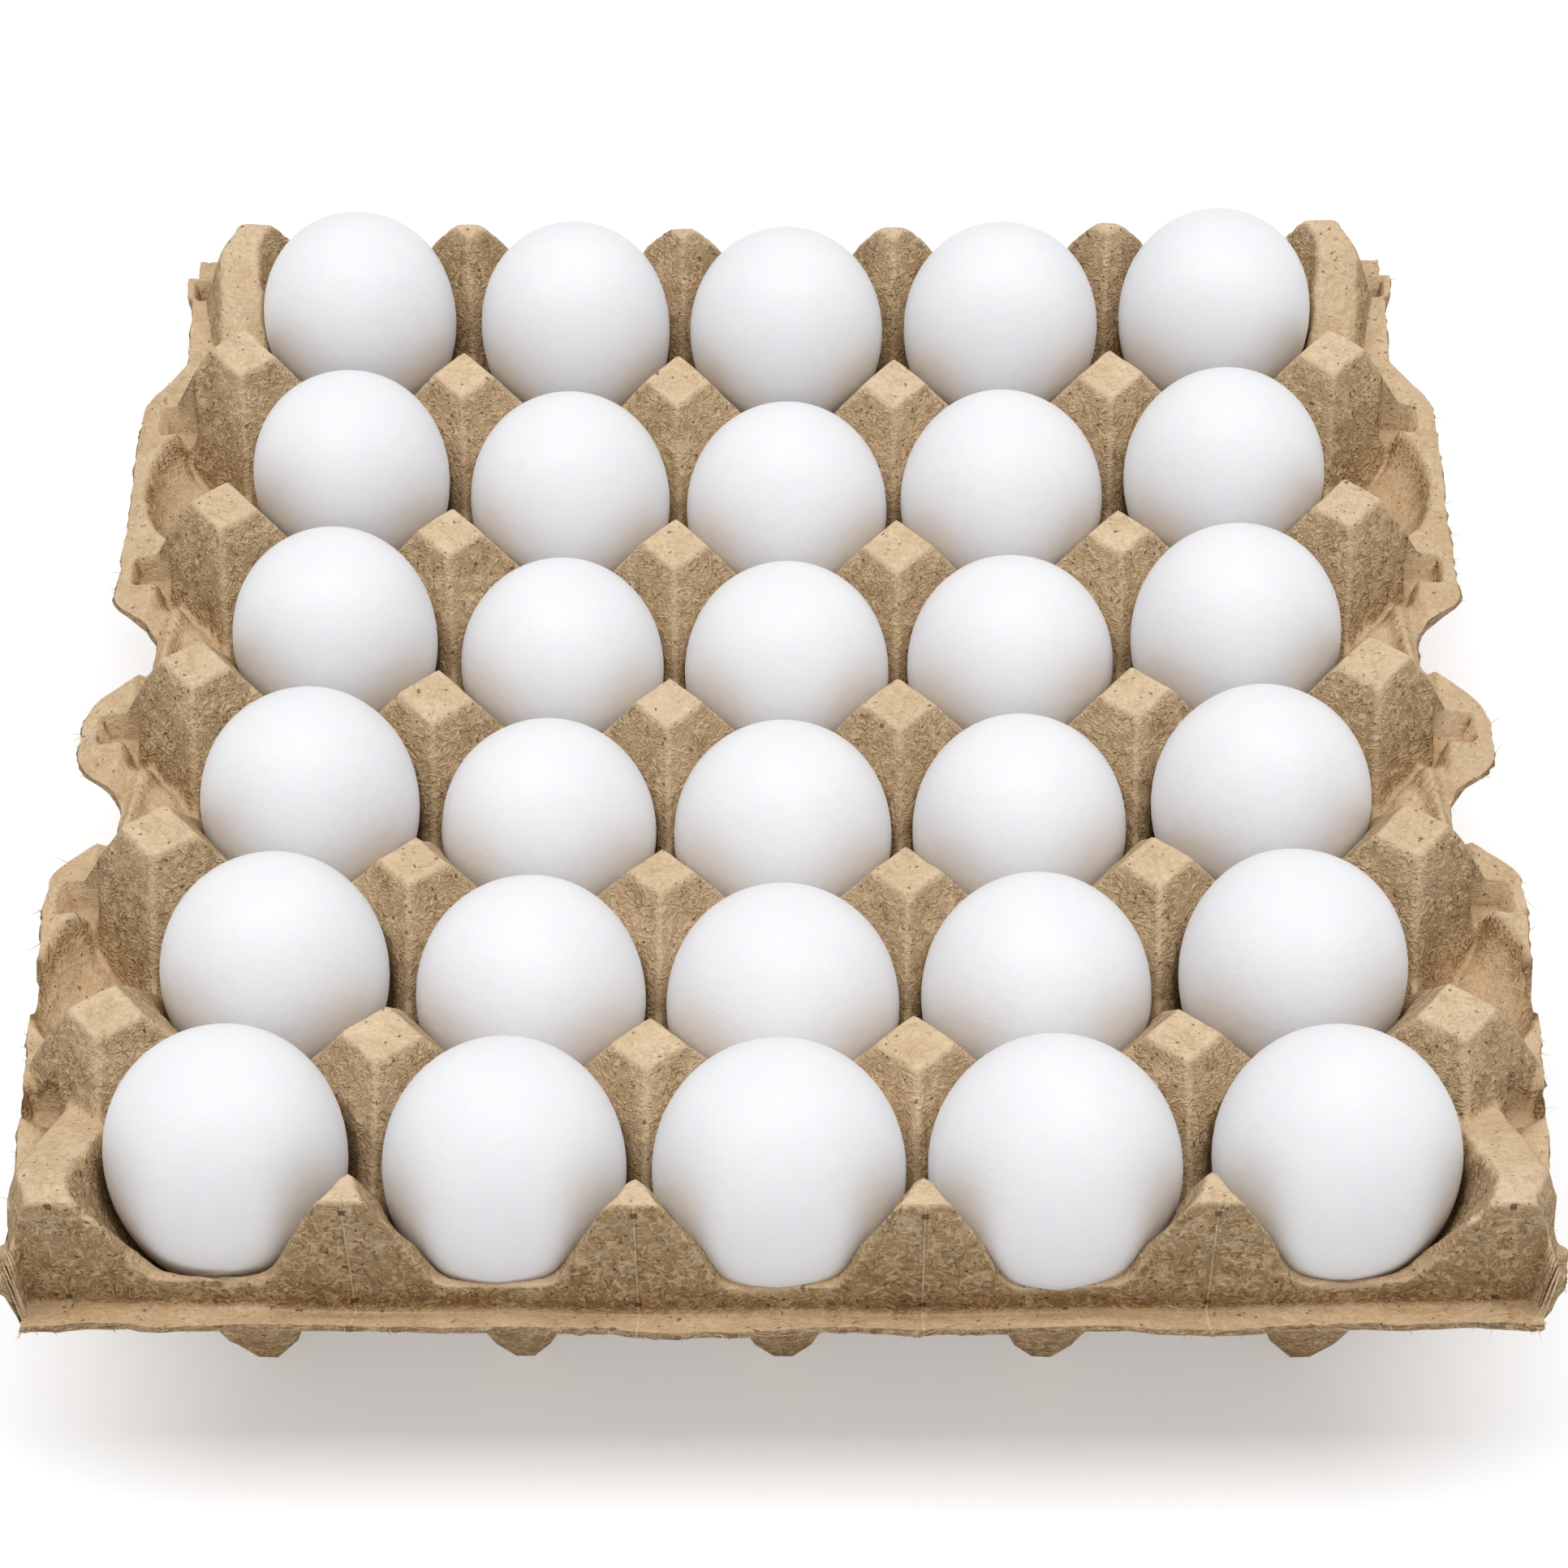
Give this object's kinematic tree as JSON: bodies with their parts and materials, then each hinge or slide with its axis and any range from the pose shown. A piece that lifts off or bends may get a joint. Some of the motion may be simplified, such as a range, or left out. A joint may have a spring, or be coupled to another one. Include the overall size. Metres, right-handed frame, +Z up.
{
  "type": "egg tray with eggs",
  "caption": "Open square egg tray of moulded pulp, with cup-shaped cells between raised posts and a flanged edge, filled with white eggs standing point down.",
  "frame": {"origin": "middle of the overall box in plan, on the surface that the tray stands on", "axes": "+Z up, +X along the five columns of cells, +Y along the six rows, with -Y the front"},
  "size_m": [0.2946, 0.29, 0.0877],
  "materials": {
    "pulp": "matte",
    "eggshell": "satin"
  },
  "bodies": {
    "root": {"tray": "pulp", "egg_r1_c1": "eggshell", "egg_r1_c2": "eggshell", "egg_r1_c3": "eggshell", "egg_r1_c4": "eggshell", "egg_r1_c5": "eggshell", "egg_r2_c1": "eggshell", "egg_r2_c2": "eggshell", "egg_r2_c3": "eggshell", "egg_r2_c4": "eggshell", "egg_r2_c5": "eggshell", "egg_r3_c1": "eggshell", "egg_r3_c2": "eggshell", "egg_r3_c3": "eggshell", "egg_r3_c4": "eggshell", "egg_r3_c5": "eggshell", "egg_r4_c1": "eggshell", "egg_r4_c2": "eggshell", "egg_r4_c3": "eggshell", "egg_r4_c4": "eggshell", "egg_r4_c5": "eggshell", "egg_r5_c1": "eggshell", "egg_r5_c2": "eggshell", "egg_r5_c3": "eggshell", "egg_r5_c4": "eggshell", "egg_r5_c5": "eggshell", "egg_r6_c1": "eggshell", "egg_r6_c2": "eggshell", "egg_r6_c3": "eggshell", "egg_r6_c4": "eggshell", "egg_r6_c5": "eggshell"}
  },
  "joints": []
}
